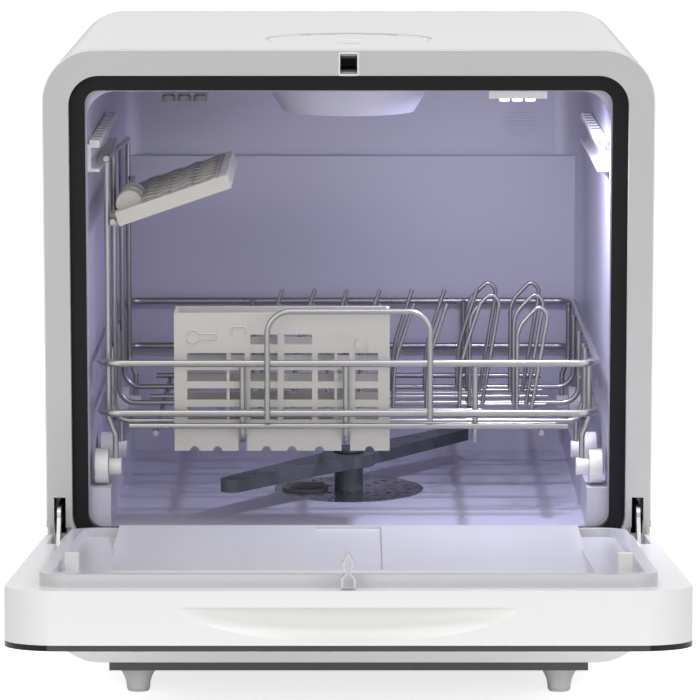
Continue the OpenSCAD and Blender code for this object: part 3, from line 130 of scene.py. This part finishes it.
# inside of the door: light grey, smooth, a little cooler than the frame
M_LINER = material("light_grey_door_liner", "CACACD", 0.3, coat=0.2, coat_rough=0.14, mottle=0.005, mottle_mm=120,
                   rough_var=0.02)
M_TOE = material("light_grey_toe_panel", "F0F0EF", 0.42, mottle=0.006, mottle_mm=100, grain=0.05, grain_mm=0.5)
M_FOOT = material("light_grey_feet", "DADAD9", 0.45, mottle=0.006, mottle_mm=100, grain=0.05, grain_mm=0.5)
# wheels, hubs, brackets: off-white plastic that has a little softness
M_WHITE = material("off_white_plastic", "E4E3E0", 0.4, mottle=0.012, mottle_mm=12, grain=0.06, grain_mm=0.4)
M_COVER = material("matt_white_rear_cover", "D8D8D6", 0.55, mottle=0.01, mottle_mm=40, grain=0.2, grain_mm=0.8)
# nylon-coated wire: pale warm silver with a narrow highlight along each wire
M_WIRE = material("silver_coated_wire", "A3A2A0", 0.3, metal=0.85, coat=0.3, coat_rough=0.12, mottle=0.01,
                  mottle_mm=40, rough_var=0.03)
# cutlery basket and cup shelf: beige-grey moulding, satin
M_BEIGE = material("beige_grey_moulding", "C4C1BB", 0.46, mottle=0.015, mottle_mm=15, grain=0.08, grain_mm=0.4)
M_TANK = material("translucent_tank_plastic", "E6EAEC", 0.35, trans=0.3, mottle=0.01, mottle_mm=30)
# outer face of the door: black glass
M_GLASS = material("black_door_glass", "09090B", 0.1, rough_var=0.02, mottle_mm=80)
# glossy white of the door's edge; the same brighter white is also the painted highlight on the shell's lip and on
# the filler lid's rim and finger mark
M_DOOR_WHITE_AND_HIGHLIGHTS = material("white_gloss_door_edge_and_painted_highlights", "EEEEEC", 0.28, coat=0.35, coat_rough=0.07, mottle=0.002, mottle_mm=200,
                  rough_var=0.01)
M_FELT = material("black_felt_pad", "202022", 0.9, grain=0.6, grain_mm=1.5, mottle=0.1, mottle_mm=4)
M_BOARD = material("green_circuit_board", "1E5A38", 0.45, mottle=0.15, mottle_mm=3, grain=0.1, grain_mm=0.6)
# lamp in the ceiling: clear lens, lit violet-white
M_LENS = material("lit_lamp_lens", "F0F0FF", 0.15, mottle=0.02, mottle_mm=4, glow="D9D2FF", glow_power=3.0)

WHEELS = [f"wheel_{place}_{side}" for place in ("front", "mid", "rear") for side in ("left", "right")]
PAINT = {
    M_SHELL: ["outer_shell", "filler_bowl", "filler_lid"],
    M_COVER: ["rear_cover"],
    M_STEEL: ["rear_screws", "filter_plate", "pump_rotor", "heater_coil", "lid_pin", "hinge_arm_left",
              "hinge_arm_right", "hinge_pins", "latch_striker"],
    M_BASE: ["base_tray"],
    M_FRAME: ["front_frame"],
    M_TOE: ["toe_panel"],
    M_FOOT: ["feet"],
    M_TUB: ["tub", "wheel_runners"],
    M_SEAL: ["tub_gasket", "pump_cradle"],
    M_WHITE: ["side_rails", "inlet_valve", "lamp_housing", "wheel_hubs", "roller_stops"] + WHEELS,
    M_GREY: ["sump", "filter_cup", "wash_pump_housing", "drain_pump", "drain_spout", "fan_housing", "ceiling_vent"],
    M_ARM: ["spray_post", "spray_arm"],
    M_BLACK: ["power_gland", "fan_rotor", "latch_box"],
    M_TANK: ["water_tank", "filler_duct"],
    M_BOARD: ["power_board", "touch_board"],
    M_LENS: ["lamp_lens"],
    M_DOOR_WHITE_AND_HIGHLIGHTS: ["door_frame"],
    M_GLASS: ["door_glass"],
    M_LINER: ["door_liner"],
    M_FELT: ["door_insulation"],
    M_WIRE: ["basket_wires", "basket_handle", "plate_tines", "bowl_tines", "tall_rack"],
    M_BEIGE: ["cup_shelf", "cutlery_basket"],
}
for paint, nodes in PAINT.items():
    for name in nodes:
        NODE[name].data.materials.clear()
        NODE[name].data.materials.append(paint)


# ---------- pieces made here ----------

def finish_piece(obj, paint, body):
    """Paints a piece, smooths it, and lets it ride on a CAD body."""
    obj.data.materials.clear()
    obj.data.materials.append(paint)
    for f in obj.data.polygons:
        f.use_smooth = True
    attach(obj, body)
    return obj


def rounded(points, bend, steps=6):
    """The points of a path with each inner corner turned into a round bend."""
    pts = [Vector(p) for p in points]
    out = [pts[0]]
    for a, b, c in zip(pts, pts[1:], pts[2:]):
        u, v = (a - b), (c - b)
        reach = min(bend, 0.48 * u.length, 0.48 * v.length)
        p, q = b + u.normalized() * reach, b + v.normalized() * reach
        for i in range(steps + 1):
            k = i / steps
            out.append(p * (1 - k) ** 2 + b * 2 * k * (1 - k) + q * k ** 2)
    return out + [pts[-1]]


def wires(name, paths, radius):
    """One mesh of round wires along several paths."""
    curve = bpy.data.curves.new(name + "_path", "CURVE")
    curve.dimensions = "3D"
    curve.bevel_depth = radius
    curve.bevel_resolution = 4
    curve.use_fill_caps = True
    for path in paths:
        spline = curve.splines.new("POLY")
        spline.points.add(len(path) - 1)
        for point, at in zip(spline.points, path):
            point.co = (*at, 1)
    draft = bpy.data.objects.new(name + "_draft", curve)
    bpy.context.scene.collection.objects.link(draft)
    mesh = bpy.data.meshes.new_from_object(draft.evaluated_get(bpy.context.evaluated_depsgraph_get()))
    bpy.data.objects.remove(draft)
    obj = bpy.data.objects.new(name, mesh)
    bpy.context.scene.collection.objects.link(obj)
    return obj


def mesh_piece(name, build):
    """A piece whose mesh the function build makes in a bmesh."""
    bm = bmesh.new()
    build(bm)
    bmesh.ops.recalc_face_normals(bm, faces=bm.faces)
    mesh = bpy.data.meshes.new(name)
    bm.to_mesh(mesh)
    bm.free()
    obj = bpy.data.objects.new(name, mesh)
    bpy.context.scene.collection.objects.link(obj)
    return obj


def lathe(bm, profile, at, steps=40):
    """Turns a profile of (radius, height) pairs about an upright axis."""
    rings = [[bm.verts.new((at[0] + r * math.cos(a), at[1] + r * math.sin(a), at[2] + z))
              for a in (2 * math.pi * i / steps for i in range(steps))] for r, z in profile]
    for low, high in zip(rings, rings[1:]):
        for i in range(steps):
            j = (i + 1) % steps
            bm.faces.new((low[i], low[j], high[j], high[i]))


TINE_R = 1.5 * MM
low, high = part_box("bowl_tines")
BOWL_X = (88 * MM, 120 * MM)                       # left legs of the two rows of loops
BOWL_Y = (-104.5 * MM, -38.5 * MM, 27.5 * MM)       # rows of loops, from the front
BOWL_SHAPE = [(0, 0), (0, 0.81), (15 * MM, 1.0), (21.5 * MM, 0.93), (20 * MM, 0.80), (9 * MM, 0)]


def bowl_loops():
    """Loops that lean to the right at the top, with round shoulders, and the wires that they stand on."""
    base, top = low[2] + TINE_R, high[2] - TINE_R
    paths = []
    for y in BOWL_Y:
        for x in BOWL_X:
            if x == BOWL_X[0] and y == BOWL_Y[0]:
                continue
            shape = [Vector((x + dx, y, base + share * (top - base))) for dx, share in BOWL_SHAPE]
            paths.append(rounded(shape, 9 * MM, 8))
        carrier = y + 2 * TINE_R + 0.1 * MM
        paths.append([Vector((82 * MM, carrier, base)), Vector((144 * MM, carrier, base))])
    obj = wires("bowl_loops", paths, TINE_R)
    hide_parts("bowl_tines")
    return finish_piece(obj, M_WIRE, "basket")


def bent_plate_tines():
    """Plate tines that rise straight and lean over in their upper half."""
    a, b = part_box("plate_tines")
    base, top = a[2] + TINE_R, b[2] - TINE_R
    lean, pitch, first = 15 * MM, 24 * MM, -64 * MM
    paths = []
    for y in (a[1] + TINE_R, b[1] - 3 * TINE_R - 0.1 * MM):
        paths.append([Vector((a[0], y, base)), Vector((96 * MM, y, base))])
        yt = y + 2 * TINE_R + 0.1 * MM
        for i in range(7):
            x = first + pitch * i
            paths.append(rounded([(x, yt, base), (x + 1 * MM, yt, base + 0.45 * (top - base)), (x + lean, yt, top)],
                                 14 * MM))
    obj = wires("bent_plate_tines", paths, TINE_R)
    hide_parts("plate_tines")
    return finish_piece(obj, M_WIRE, "basket")


def foot_flares():
    """Skirts that widen from the feet up to the base, round each of the four feet."""
    a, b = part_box("feet")
    r = 10 * MM
    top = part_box("base_tray")[0][2]

    def build(bm):
        for x in (a[0] + r, b[0] - r):
            for y in (a[1] + r, b[1] - r):
                profile = [(8.2 * MM + 8.3 * MM * k ** 2.2, 1.5 * MM + (top - 1.6 * MM) * k)
                           for k in (i / 10 for i in range(11))]
                lathe(bm, [(7 * MM, 1.5 * MM)] + profile + [(9 * MM, top - 0.1 * MM)], (x, y, 0))
    return finish_piece(mesh_piece("foot_flares", build), M_FOOT, "cabinet")


def fan_grille():
    """Slotted plate over the fan's air inlet in the back wall, in the tub's colour."""
    x, z, y = 132 * MM, 375 * MM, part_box("tub")[1][1] - 2.6 * MM
    pitch, bar = 2 * MM, 1.85 * MM

    def build(bm):
        for i in range(-6, 7):
            half = math.sqrt((14 * MM) ** 2 - (pitch * i) ** 2)
            for v in bmesh.ops.create_cube(bm, size=1.0)["verts"]:
                v.co = Vector((x + v.co.x * 2 * half, y + v.co.y * 1.2 * MM, z + pitch * i + v.co.z * bar))
    obj = mesh_piece("fan_grille", build)
    finish_piece(obj, M_TUB, "cabinet")
    for f in obj.data.polygons:
        f.use_smooth = False
    return obj


def gasket_lip():
    """Thin soft lip along the gasket's inner edge, which catches the light."""
    a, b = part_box("tub_gasket")
    inset, r = 10.2 * MM, 11 * MM
    x, z0, z1, y = b[0] - inset, a[2] + inset, b[2] - inset, a[1] + 0.7 * MM
    corners = [(x, y, z0), (x, y, z1), (-x, y, z1), (-x, y, z0)]
    middle = Vector((0, y, z0))
    path = rounded([middle] + [Vector(c) for c in corners] + [middle], r, 10)
    return finish_piece(wires("gasket_lip", [path], 0.65 * MM), M_SEAL, "cabinet")


def cutlery_marks():
    """Raised outline of a keyhole and a small tab on the cutlery basket's front wall."""
    a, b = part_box("cutlery_basket")
    y = a[1] + 1.9 * MM
    x, z = a[0] + 13 * MM, b[2] - 16.5 * MM
    r, neck, tail = 4.6 * MM, 2 * MM, 16 * MM
    start = math.asin(neck / r)
    turn = [start + (2 * math.pi - 2 * start) * i / 28 for i in range(29)]
    key = [Vector((x + r * math.cos(t), y, z + r * math.sin(t))) for t in turn]
    key += rounded([key[-1], (x + tail, y, z - neck), (x + tail, y, z + neck), key[0]], 1.2 * MM)[1:]
    tab = rounded([(x + 27 * MM, y, z + 2 * MM), (x + 27 * MM, y, z + 7 * MM), (x + 37 * MM, y, z + 7 * MM),
                   (x + 37 * MM, y, z + 2 * MM)], 1.5 * MM)
    obj = wires("cutlery_marks", [key, tab], 0.7 * MM)
    return finish_piece(obj, M_BEIGE, "cutlery_basket")


SHELF_PIN = (-163.8 * MM, 335 * MM)                # x and z of the cup shelf's hinge wire
SHELF_TILT = math.radians(19)
SHELF_TOP = 6 * MM                                 # its upper face above the hinge wire


def on_shelf(along, y, up):
    """A point given along the tilted cup shelf from its hinge, and up from the hinge wire."""
    c, s = math.cos(SHELF_TILT), math.sin(SHELF_TILT)
    return Vector((SHELF_PIN[0] + along * c - up * s, y, SHELF_PIN[1] + along * s + up * c))


def shelf_texture():
    """Zigzag ribs between the cup shelf's holes, cross ribs with small crests, and rims on the cup hooks."""
    a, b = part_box("cup_shelf")
    y0, y1 = a[1], b[1]
    paths = []
    for column in (22.5, 41, 59, 77):
        steps = int((y1 - y0 - 4 * MM) / (3.5 * MM))
        paths.append([on_shelf((column + (1.2 if i % 2 else -1.2)) * MM, y0 + 2 * MM + 3.5 * MM * i,
                               SHELF_TOP + 0.2 * MM) for i in range(steps + 1)])
    for row in range(7):
        y = y0 + 26 * MM + 22 * MM * row - 4 * MM
        if y < y1 - 3 * MM:
            paths.append([on_shelf((22 + 5 * i) * MM, y + (1 if i % 2 else -1) * MM,
                                   SHELF_TOP + (1.1 if i % 3 == 1 else 0.2) * MM) for i in range(12)])
    obj = wires("shelf_texture", paths, 0.8 * MM)
    hooks = []
    for y in (y0 + 14 * MM, y0 + 40 * MM, y0 + 66 * MM):
        for edge in (0.6 * MM, 7.4 * MM):
            hooks.append([on_shelf((14 - 8.3 * math.cos(t)) * MM, y + edge, (7 + 8.3 * math.sin(t)) * MM)
                          for t in (math.pi * i / 14 for i in range(15))])
    rims = wires("hook_rims", hooks, 1.0 * MM)
    finish_piece(rims, M_BEIGE, "cup_shelf")
    return finish_piece(obj, M_BEIGE, "cup_shelf")


def shell_lip_painted_highlight():
    """Rounded lip where the shell turns in to the front frame, over the top and down both sides, painted in the
    door's brighter white rather than the shell's: partly the real lip, partly a painted highlight along the frame's
    edge.
    """
    a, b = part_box("front_frame")
    r = 0.5 * MM
    x, top, y, bend = b[0] - r, b[2] - r, a[1] + 0.3 * MM, 36 * MM - r
    arc = [math.radians(90 * i / 16) for i in range(17)]
    right = [Vector((x - bend + bend * math.cos(t), y, top - bend + bend * math.sin(t))) for t in arc]
    left = [Vector((-p.x, p.y, p.z)) for p in reversed(right)]
    path = [Vector((x, y, 0.13))] + right + left + [Vector((-x, y, 0.13))]
    # brighter than the shell's own white: a painted highlight
    return finish_piece(wires("shell_lip_painted_highlight", [path], r), M_DOOR_WHITE_AND_HIGHLIGHTS, "cabinet")


def latch_trim():
    """Bright edge round the latch's hole."""
    a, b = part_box("front_frame")
    y, x, z0, z1 = a[1] + 0.3 * MM, 6.5 * MM, 439.5 * MM, 454.5 * MM
    path = rounded([(0, y, z0), (x, y, z0), (x, y, z1), (-x, y, z1), (-x, y, z0), (0, y, z0)], 1 * MM, 3)
    return finish_piece(wires("latch_trim", [path], 0.7 * MM), M_WHITE, "cabinet")


def lid_edges_painted_highlight():
    """Rolled rim of the filler's lid and the crest of its finger mark, painted in the door's brighter white rather
    than the lid's own: partly real shape, partly painted highlights on the top.
    """
    a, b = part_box("filler_lid")
    half = (b[0] - a[0]) / 2
    thick = 1.1 * MM
    r, y, z = half - thick - 0.3 * MM, a[1] + half, b[2] + 0.6 * MM - thick
    turn = [math.radians(130 + 280 * i / 80) for i in range(81)]       # open at the hinge
    rim = [Vector((r * math.cos(t), y + r * math.sin(t), z)) for t in turn]
    crest = [Vector((12 * MM * math.cos(t), y + 4 * MM * math.sin(t), z))
             for t in (2 * math.pi * i / 32 for i in range(33))]
    # brighter than the lid's own white: painted highlights
    return finish_piece(wires("lid_edges_painted_highlight", [rim, crest], thick), M_DOOR_WHITE_AND_HIGHLIGHTS, "filler_lid")


bowl_loops()
bent_plate_tines()
shell_lip_painted_highlight()
latch_trim()
lid_edges_painted_highlight()
foot_flares()
fan_grille()
gasket_lip()
cutlery_marks()
shelf_texture()

# ---------- camera ----------

SCENE = bpy.context.scene
cam = bpy.data.objects.new("camera", bpy.data.cameras.new("camera"))
SCENE.collection.objects.link(cam)
cam.location = (0.0009, -3.005, 0.6750)
cam.rotation_euler = (math.radians(90 - 8.602), 0, 0)
cam.data.sensor_fit = "HORIZONTAL"
cam.data.sensor_width = 36.0
cam.data.lens = 212.0
cam.data.clip_end = 90
SCENE.camera = cam
SCENE.view_settings.view_transform = "Standard"


# ---------- room and light ----------

def seen_directly(tree):
    """1 for a ray that ends on the camera's picture, a mirror or clear plastic, otherwise 0."""
    path = tree.nodes.new("ShaderNodeLightPath")
    total = path.outputs["Is Camera Ray"]
    for other in ("Is Glossy Ray", "Is Transmission Ray"):
        both = tree.nodes.new("ShaderNodeMath")
        both.operation = "MAXIMUM"
        tree.links.new(total, both.inputs[0])
        tree.links.new(path.outputs[other], both.inputs[1])
        total = both.outputs[0]
    return total


def floor_piece():
    """A plain white floor that keeps the object's soft shadow."""
    def build(bm):
        bmesh.ops.create_grid(bm, x_segments=1, y_segments=1, size=FLOOR_HALF)
    obj = mesh_piece("studio_floor", build)
    m = bpy.data.materials.new("studio_floor_white")
    m.use_nodes = True
    s = m.node_tree.nodes["Principled BSDF"]
    s.inputs["Base Color"].default_value = lin("FAFAFA")
    s.inputs["Roughness"].default_value = 0.9
    s.inputs["Specular IOR Level"].default_value = 0.1
    s.inputs["Emission Color"].default_value = lin("FFFFFF")
    path = m.node_tree.nodes.new("ShaderNodeLightPath")
    lift = add(m.node_tree, "ShaderNodeMath", {"operation": "MULTIPLY"})
    m.node_tree.links.new(path.outputs["Is Camera Ray"], lift.inputs[0])
    lift.inputs[1].default_value = FLOOR_LIFT
    m.node_tree.links.new(lift.outputs[0], s.inputs["Emission Strength"])
    obj.data.materials.append(m)


FLOOR_HALF = 40                                    # metres from the middle to the floor's edge
FLOOR_LIFT = 0.75                                  # what the floor adds to its own light for the camera
WORLD_GREY = (0.50, 0.50, 0.51, 1)

floor_piece()
world = bpy.data.worlds.new("studio")
SCENE.world = world
world.use_nodes = True
sky = world.node_tree
pick = add(sky, "ShaderNodeMix", {"data_type": "RGBA"}, Factor=seen_directly(sky))
pick.inputs[6].default_value = WORLD_GREY
pick.inputs[7].default_value = (1, 1, 1, 1)
sky.links.new(pick.outputs[2], sky.nodes["Background"].inputs["Color"])


def area(name, at, aim, size, power, colour=(1, 1, 1)):
    """A soft rectangular lamp."""
    d = bpy.data.lights.new(name, "AREA")
    d.shape = "RECTANGLE"
    d.size, d.size_y = size
    d.energy = power
    d.color = colour
    o = bpy.data.objects.new(name, d)
    o.location = at
    o.rotation_euler = (Vector(aim) - Vector(at)).to_track_quat("-Z", "Y").to_euler()
    o.visible_camera = False
    SCENE.collection.objects.link(o)


area("key_above", (0.2, -0.9, 2.2), (0, -0.2, 0.2), (1.8, 1.2), 14)
area("fill_front", (-1.3, -2.6, 1.1), (0, -0.2, 0.25), (1.4, 1.4), 11)
area("fill_right", (1.7, -2.0, 0.9), (0, -0.1, 0.25), (1.0, 1.4), 7)
area("fill_low", (0, -1.9, 0.06), (0, -0.2, 0.06), (1.8, 0.12), 1.5)
area("under_door", (0.02, -0.42, 0.004), (0, -0.2, 0.14), (0.7, 0.2), 0.75)
# the machine's own lamp
area("tub_lamp", (0.117, -0.148, 0.414), (0.105, -0.10, 0.0), (0.03, 0.02), 0.5, (0.74, 0.73, 1.0))

area("lamp_on_door", (0.117, -0.168, 0.412), (0.09, -0.42, 0.1), (0.03, 0.02), 0.5, (0.78, 0.77, 1.0))
